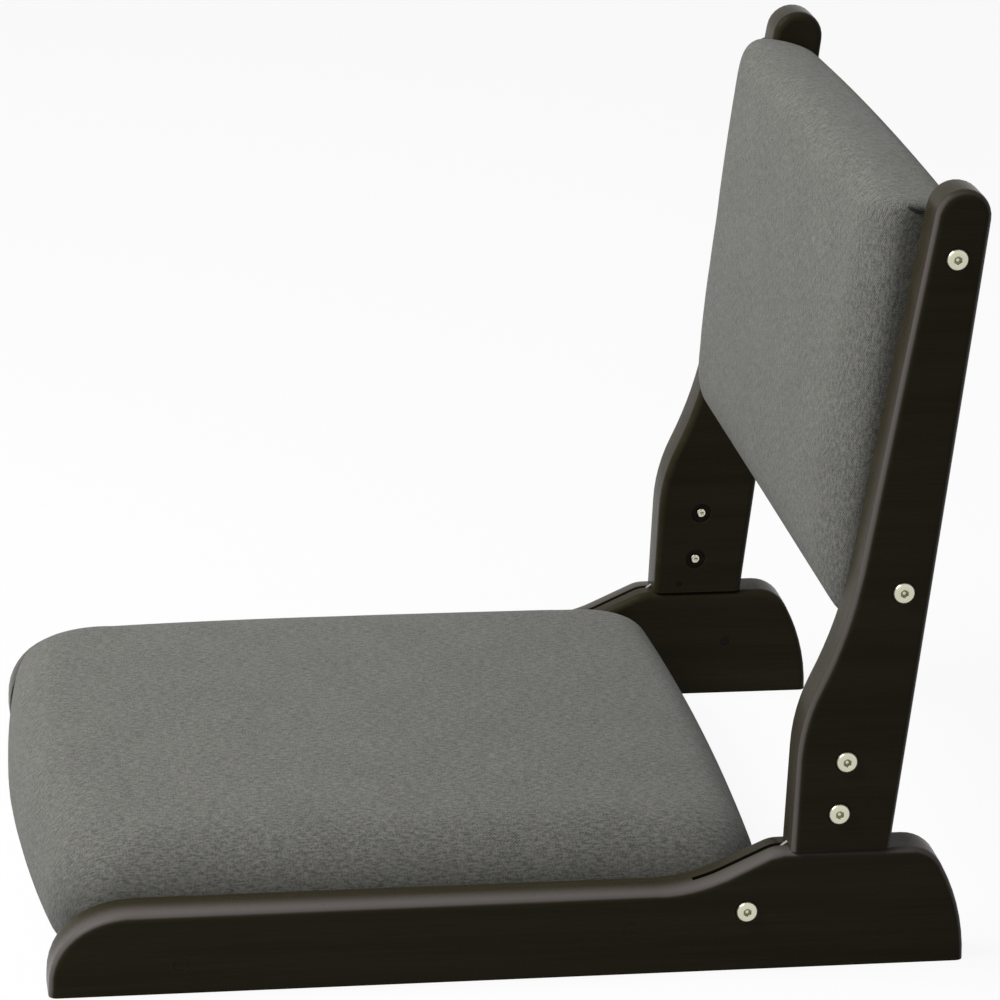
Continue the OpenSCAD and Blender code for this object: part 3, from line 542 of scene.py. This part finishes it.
def cushion_form(form, step=GRID_STEP):
    """A cushion as two grids that meet at its widest line. Ring k of a grid lies k steps in from its
    border. On the upper grid the rings first turn over a quarter ellipse and then lie on the crowned
    face, whose height falls off with the squares of x and y. On the lower grid they run down to the
    base and under it. Cloth coordinates are x and y on the face, and go on with the way down the nearest
    side beyond it. Returns the points, the quads, the cloth coordinates, and how far each point is held
    by the base."""
    hw, half, belt, edge = PAD_HALF_W, form["half"], form["belt"], form["edge"]
    rolled = int(round(PI / 2 * (form["side"] + edge - belt) / 2 / step))
    under = int(round(belt / step)) + 1
    flat = (hw - form["side"], half - form["end"])
    rings = rolled + int(round(min(flat) / step))
    spare = [max(0, int(round((side - min(flat)) / step))) for side in flat]
    nx, ny = 2 * (rings + spare[0]), 2 * (rings + spare[1])
    i, j = np.meshgrid(np.arange(nx + 1), np.arange(ny + 1), indexing="ij")
    di, dj = np.minimum(i, nx - i), np.minimum(j, ny - j)
    ring = np.minimum(di, dj)
    a = np.clip((i - nx / 2) / np.maximum(nx / 2 - ring, 0.5), -1, 1)
    b = np.clip((j - ny / 2) / np.maximum(ny / 2 - ring, 0.5), -1, 1)
    ox, oy, reach = outline(form, a, b)
    spare_x, spare_y = spare[0] * step, spare[1] * step

    def sheet(count, in_x, in_y, height, share):
        turn = np.clip(ring / count, 0, 1) * PI / 2
        rest = np.clip((ring - count) / (rings - count), 0, 1)
        x_in = in_x * (1 - np.cos(turn)) + (hw - spare_x - in_x) * rest
        y_in = in_y * (1 - np.cos(turn)) + (reach - spare_y - in_y) * rest
        x, y = ox * (1 - x_in / hw), oy * (1 - y_in / reach)
        u, v = (x / hw) ** 2, (y / half) ** 2
        fall = np.where(y < 0, form["drop"], form["high_drop"]) * u * v
        rise = form["crown"] * (1 - u) * (1 - v) - fall
        rise = rise + form["lift"] * np.clip(y / half, 0, 1)
        z = belt + (height - belt) * np.sin(turn) + share * np.sin(turn) * rise
        return np.stack([x, y, z], -1)

    upper = sheet(rolled, form["side"], np.where(b > 0, form["top_end"], form["end"]), edge, 1.0)
    lower = sheet(under, SIDE_TUCK, UNDER_ROLL, 0.0, 0.0)
    ids = np.arange((nx + 1) * (ny + 1)).reshape(nx + 1, ny + 1)
    inside = ring > 0
    low_ids = ids.copy()
    low_ids[inside] = ids.size + np.arange(inside.sum())
    points = np.concatenate([upper.reshape(-1, 3), lower[inside]])
    quads = np.concatenate([grid_quads(ids), grid_quads(low_ids)[:, ::-1]])

    side = np.clip(0.5 + (dj - di) / MITRE_STEPS, 0, 1)
    signs = np.stack([np.sign(i - nx / 2), np.sign(j - ny / 2)], -1)
    shares = np.stack([side, 1 - side], -1)
    over = np.stack([extra_way(ring, form["side"], edge - belt, rolled),
                     extra_way(ring, form["end"], edge - belt, rolled)], -1)
    down = np.minimum(ring, under)[..., None] * (belt + UNDER_ROLL) / under
    outer = np.stack([ox, oy], -1)
    laid = upper[..., :2] + signs * shares * over
    below = shares * (outer + signs * (over[0, 0] + down)) + (1 - shares) * lower[..., :2]
    cloth = np.concatenate([laid.reshape(-1, 2), below[inside]])
    grip = np.clip((ring[inside] - under + GRIP_RINGS - 1) / GRIP_RINGS, 0, 1)
    return points, quads, cloth, np.concatenate([np.zeros(ids.size), grip])


def swell(points, quads, held, cap, name):
    """The points after cloth under air pressure has swelled a slightly smaller form. What is stapled
    under the base holds still, and no point moves further than the cap, in millimetres."""
    mesh = bpy.data.meshes.new(name)
    mesh.from_pydata((points * MM).tolist(), [], quads.tolist())
    normals = np.zeros(len(points) * 3, np.float32)
    mesh.vertices.foreach_get("normal", normals)
    shrunk = points - SWELL_START * (1 - held)[:, None] * normals.reshape(-1, 3)
    mesh.vertices.foreach_set("co", (shrunk * MM).astype(np.float32).ravel())
    body = new_object(name, mesh)
    group = body.vertex_groups.new(name="held")
    for level in np.unique(held[held > 0]):
        group.add(np.flatnonzero(held == level).tolist(), float(level), "REPLACE")
    cloth = body.modifiers.new("cloth", "CLOTH")
    setting = cloth.settings
    setting.quality = 6
    setting.mass = 0.25
    setting.tension_stiffness = setting.compression_stiffness = 18
    setting.shear_stiffness = 8
    setting.bending_stiffness = 1.5
    setting.air_damping = 4
    setting.use_pressure = True
    setting.uniform_pressure_force = 4
    setting.vertex_group_mass = "held"
    setting.effector_weights.gravity = 0
    cloth.collision_settings.use_collision = False
    cloth.point_cache.frame_start = 1
    cloth.point_cache.frame_end = SWELL_FRAMES
    scene = bpy.context.scene
    for number in range(1, SWELL_FRAMES + 1):
        scene.frame_set(number)
    done = body.evaluated_get(bpy.context.evaluated_depsgraph_get()).to_mesh()
    moved = np.zeros(len(points) * 3, np.float32)
    done.vertices.foreach_get("co", moved)
    scene.frame_set(1)
    bpy.data.objects.remove(body)
    way = moved.reshape(-1, 3) / MM - points
    length = np.linalg.norm(way, axis=1, keepdims=True)
    return points + way * np.minimum(1, cap / np.maximum(length, 1e-6))


def to_seat(p):
    """A pad's own points, in the frame, as the seat."""
    return p + [0, SEAT_Y, SEAT_BASE]


def to_back(p):
    """A pad's own points, in the frame, as the back: its thickness points forwards and its length up,
    and it leans back about the lower bolts."""
    depth, height = BACK_REAR - p[:, 2], BACK_MIDDLE + p[:, 1]
    y = depth * np.cos(LEAN) + height * np.sin(LEAN)
    z = height * np.cos(LEAN) - depth * np.sin(LEAN)
    return np.stack([p[:, 0], y, z], -1) + BACK_BOLT


def make_cushion(name, form, place, body, nodes, cap):
    """A swelled and dressed cushion that stands for a CAD cover and its foam."""
    points, quads, cloth, held = cushion_form(form)
    points = swell(points, quads, held, cap, name + "_trial")
    widest = PAD_HALF_W + SIDE_SLACK
    points[:, 0] = np.clip(points[:, 0], -widest, widest)
    piece = add_piece(name, place(points), quads, body, CLOTH, cloth)
    finer = piece.modifiers.new("subdivision", "SUBSURF")
    finer.levels = finer.render_levels = 1
    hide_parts(*nodes)


def fold_tube(shift, wide, high):
    """A closed tube that follows the back cushion's top corner, in the pad's own millimetres. It turns
    round the outline's corner while it runs from the front face towards the rear, and its size falls to
    both ends as the root of a parabola. Returns the points, the quads, the triangles that close the
    ends, and the cloth coordinates."""
    t = np.linspace(0, 1, FOLD_ROWS)
    turn = np.radians(FOLD_START - FOLD_TURN * t)
    out = np.stack([np.cos(turn), np.sin(turn), 0 * t], -1)
    corner = BACK_FORM["corner"]
    centre = [PAD_HALF_W - corner, BACK_FORM["half"] - BACK_FORM["high_bow"] - corner, 0.0]
    run = np.stack([0 * t, 0 * t, FOLD_FRONT - FOLD_LENGTH * t], -1)
    path = centre + out * (corner - FOLD_DEPTH) + run
    along = np.gradient(path, axis=0)
    along /= np.linalg.norm(along, axis=1, keepdims=True)
    across = np.cross(along, out)
    path = path + (across * shift[0] + out * shift[1])
    around = np.linspace(0, 2 * PI, FOLD_SIDES, endpoint=False)[None, :, None]
    size = np.sqrt(np.clip(t * (1 - t) * 4, 0.02, 1))[:, None, None]
    rings = path[:, None] + size * (wide * np.cos(around) * across[:, None]
                                    + high * np.sin(around) * out[:, None])
    ids = np.arange(FOLD_ROWS * FOLD_SIDES).reshape(FOLD_ROWS, FOLD_SIDES)
    length, girth = FOLD_CLOTH
    round_it = np.linspace(0, girth, FOLD_SIDES, endpoint=False)
    cloth = np.stack([np.repeat(t * length, FOLD_SIDES), np.tile(round_it, FOLD_ROWS)], -1)
    cloth = np.concatenate([cloth, [[0, girth / 2], [length, girth / 2]]])
    points = np.concatenate([rings.reshape(-1, 3), path[[0, -1]]])
    return points, grid_quads(ids, close=True), end_fans(ids), cloth


def make_pleats(name, shift, wide, high, material):
    """The same tube at both top corners of the back cushion. In cloth it is a fold's lip, and in black
    felt a painted shadow beside the lip.
    """
    points, quads, fans, cloth = fold_tube(shift, wide, high)
    both = np.concatenate([points, points * [-1, 1, 1]])
    add_piece(name, to_back(both), np.concatenate([quads, quads[:, ::-1] + len(points)]), "back",
              material, np.concatenate([cloth, cloth]),
              tris=np.concatenate([fans, fans[:, ::-1] + len(points)]))


# Bolts

def lathe(profile, sides, hex_rows=(), flats=0.0):
    """A closed surface turned about X from a profile of (radius, x, painted shade) that starts and ends
    on the axis. On the hexagonal rows the radius at a turn is half the width across the flats over the
    cosine of the turn from the nearest flat's middle. Returns the points and quads, with fans of
    triangles at both poles."""
    turn = np.linspace(0, 2 * PI, sides, endpoint=False)
    rows = np.array(profile[1:-1])
    radius = np.repeat(rows[:, :1], sides, 1)
    off = (turn + PI / 6) % (PI / 3) - PI / 6
    for row in hex_rows:
        radius[row] = flats / 2 * rows[row, 0] / np.cos(off)
    x = np.repeat(rows[:, 1:2], sides, 1)
    points = np.stack([x, radius * np.cos(turn), radius * np.sin(turn)], -1)
    ids = np.arange(len(rows) * sides).reshape(len(rows), sides)
    poles = np.array([[profile[0][1], 0, 0], [profile[-1][1], 0, 0]])
    return np.concatenate([points.reshape(-1, 3), poles]), grid_quads(ids, close=True), end_fans(ids)


def bolt_profile(end):
    """Head and shank of a bolt as (radius, x over the wood, painted shade): socket floor, hexagonal
    walls, a chamfered mouth, a flat face with a well rounded rim, a thin ring at the head's foot, the
    shank, and a cupped end. The painted shade darkens the socket and the cup, and makes the ring at the
    head's foot and the shank near black as a painted shadow. On the hexagonal rows the radius is a share
    of the socket's own."""
    head = [(0, 0.75, 0), (0.9, 0.65, 0), (1.25, 0.2, 0.4), (0.97, -0.2, 0.5), (1.0, -0.1, 0.4),
            (1.0, 1.55, 0.25), (1.06, 1.75, 0.2), (2.35, 1.85, 0.15), (2.5, 1.95, 0.05),
            (2.8, 2.12, 0), (3.2, 2.2, 0), (3.8, 2.2, 0), (4.2, 2.14, 0), (4.65, 1.98, 0),
            (5.05, 1.74, 0), (5.45, 1.4, 0), (5.75, 1.0, 0), (5.95, 0.6, 0.05), (6.05, 0.3, 0.8),
            (6.1, 0.22, 1), (6.6, 0.18, 1), (6.7, 0.0, 1), (5.6, -0.02, 1)]
    shank = [(3.0, -0.3, 1), (3.0, end + 1.0, 1), (2.95, end + 0.5, 0.3), (2.5, end, 0),
             (1.9, end - 0.1, 0), (1.0, end - 0.1, 0), (0.75, end + 0.3, 0.4), (0, end + 0.6, 0.5)]
    return head + shank


def make_bolts(name, places, inner_end, body, node):
    """Bolts on both sides at each (y, z), with their heads outside, made one piece."""
    profile = bolt_profile(inner_end - HALF_W)
    points, quads, fans = lathe(profile, BOLT_SIDES, SOCKET_ROWS, SOCKET_FLATS)
    painted_shade = np.array([row[2] for row in profile])
    painted_shade = np.concatenate([np.repeat(painted_shade[1:-1], BOLT_SIDES), painted_shade[[0, -1]]])
    all_points, all_quads, all_fans = [], [], []
    for y, z in places:
        for side in (1, -1):
            start = len(points) * len(all_points)
            all_points.append((points + [HALF_W, y, z]) * [side, 1, 1])
            all_quads.append(quads[:, ::side] + start)
            all_fans.append(fans[:, ::side] + start)
    piece = add_piece(name, np.concatenate(all_points), np.concatenate(all_quads), body,
                      NICKEL, tris=np.concatenate(all_fans))
    # Painted shade for each point, taken from the profile
    marks = piece.data.attributes.new("painted_shade", "FLOAT", "POINT")
    marks.data.foreach_set("value", np.tile(painted_shade, len(all_points)).astype(np.float32))
    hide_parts(node)


# Cloth under the seat and behind the back

def stretched_cloth(name, half_w, half_l, sag, place, body, material, node):
    """A stapled cloth on a grid: it sags by the product of two parabolas, and near its edges small
    ripples run between the staples and die away inwards."""
    u, v = np.meshgrid(np.linspace(-1, 1, 97), np.linspace(-1, 1, 73), indexing="ij")
    x, y = u * half_w, v * half_l
    depth = sag * (1 - u ** 2) * (1 - v ** 2)
    for along, edge in ((y, half_w - np.abs(x)), (x, half_l - np.abs(y))):
        wave = RIPPLE * np.sin(2 * PI * along / STAPLE_STEP)
        depth = depth + wave * np.exp(-edge / RIPPLE_REACH) * np.clip(edge / HEM, 0, 1)
    points = np.stack([x, y, -depth - LINING_GAP], -1).reshape(-1, 3)
    ids = np.arange(x.size).reshape(x.shape)
    cloth = np.stack([x, y], -1).reshape(-1, 2)
    piece = add_piece(name, place(points), grid_quads(ids)[:, ::-1], body, material, cloth)
    wall = piece.modifiers.new("thickness", "SOLIDIFY")
    wall.thickness = LINING_THICK * MM
    wall.offset = -1
    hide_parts(node)


# Camera, surround, floor and lamp

def make_camera():
    """The camera of the photo. The matrix's columns are its right, its up, its back and its place."""
    data = bpy.data.cameras.new("camera")
    data.lens = 165.41
    data.sensor_width = 36.0
    data.sensor_fit = "HORIZONTAL"
    data.clip_end = 100.0
    camera = new_object("camera", data)
    camera.matrix_world = Matrix((
        (0.14956234, -0.32310516, 0.93446999, 2.5249765),
        (0.98848285, 0.02679821, -0.1489413, -0.3757045),
        (0.02308158, 0.94598357, 0.32339191, 1.0780098),
        (0.0, 0.0, 0.0, 1.0)))
    bpy.context.scene.camera = camera


def seen_directly(tree):
    """1 for what the camera sees straight or in a mirror or glass, and 0 for light that lands on a
    surface."""
    path = add_node(tree, "LightPath").outputs
    seen = calc(tree, "MAXIMUM", path["Is Camera Ray"], path["Is Glossy Ray"])
    return calc(tree, "MAXIMUM", seen, path["Is Transmission Ray"])


def make_world(fill):
    """A pale surround: white where it is seen, and a plain fill where it lights the object."""
    world = bpy.data.worlds.new("surround")
    bpy.context.scene.world = world
    world.use_nodes = True
    tree = world.node_tree
    background = tree.nodes["Background"]
    background.inputs["Color"].default_value = rgb(1, 1, 1)
    feed(tree, background.inputs["Strength"], remap(tree, seen_directly(tree), 0.0, 1.0, fill, 1.0))


def make_floor(half_size):
    """A pale floor that shows white to the camera but keeps a soft shadow."""
    mesh = bpy.data.meshes.new("floor")
    corners = [(-1, -1, 0), (1, -1, 0), (1, 1, 0), (-1, 1, 0)]
    mesh.from_pydata([(x * half_size, y * half_size, z) for x, y, z in corners], [], [(0, 1, 2, 3)])
    floor = new_object("floor", mesh)
    made, tree, sockets = new_material("pale_floor", Roughness=0.9, Specular_IOR_Level=0.0)
    shown = seen_directly(tree)
    feed(tree, sockets["Base Color"], mix_colours(tree, shown, rgb(0.5, 0.5, 0.5), rgb(1, 1, 1)))
    white = add_node(tree, "Emission", {"Color": rgb(1, 1, 1), "Strength": 1.0}).outputs[0]
    share = calc(tree, "MULTIPLY", shown, WHITE_SHARE)
    plain = tree.nodes["Principled BSDF"].outputs[0]
    both = add_node(tree, "MixShader", {0: share, 1: plain, 2: white}).outputs[0]
    feed(tree, tree.nodes["Material Output"].inputs["Surface"], both)
    mesh.materials.append(made)


def make_lamp(name, place, aim, size, power):
    """A square soft lamp turned towards a point."""
    data = bpy.data.lights.new(name, "AREA")
    data.shape = "SQUARE"
    data.size = size
    data.energy = power
    back = np.array(place, float) - np.array(aim, float)
    back /= np.linalg.norm(back)
    right = np.cross([0.0, 1.0, 0.0], back)
    right /= np.linalg.norm(right)
    up = np.cross(back, right)
    rows = [[right[r], up[r], back[r], place[r]] for r in range(3)] + [[0, 0, 0, 1]]
    new_object(name, data).matrix_world = Matrix(rows)


make_camera()
make_world(fill=0.13)
make_floor(half_size=12.0)
make_lamp("key", place=(0.1, -1.36, 1.87), aim=(0.0, 0.0, 0.15), size=1.5, power=53.0)
bpy.context.scene.view_settings.view_transform = "Standard"

dress_cad_nodes()
make_cushion("seat_cushion", SEAT_FORM, to_seat, "base", ["seat_cover", "seat_foam"], cap=0.7)
make_cushion("back_cushion", BACK_FORM, to_back, "back", ["back_cover", "back_foam"], cap=0.6)
make_pleats("pleat_lips", (-1.2, 0.3), 1.5, 1.0, CLOTH)
# A thin black tube beside each fold's lip: a painted shadow
make_pleats("pleat_painted_shadows", (0.9, 0.15), 1.0, 0.35, FELT)
make_bolts("pivot_bolt_set", [PIVOT], BOLT_END, "base", "pivot_bolts")
make_bolts("plate_bolt_set", PIVOT + PLATE_BOLTS, BOLT_END, "back", "plate_bolts")
make_bolts("back_bolt_set", [BACK_BOLT[1:] + height * np.array([np.sin(LEAN), np.cos(LEAN)])
                             for height in BACK_BOLT_HEIGHTS], BACK_BOLT_END, "back", "back_bolts")
stretched_cloth("seat_underlining", PAD_HALF_W - SEAT_INSET, SEAT_HALF - SEAT_INSET, 1.2, to_seat,
                "base", FELT, "seat_lining")
stretched_cloth("back_panel", PAD_HALF_W - BACK_INSET, BACK_FORM["half"] - BACK_INSET, 0.5, to_back,
                "back", CLOTH, "back_lining")
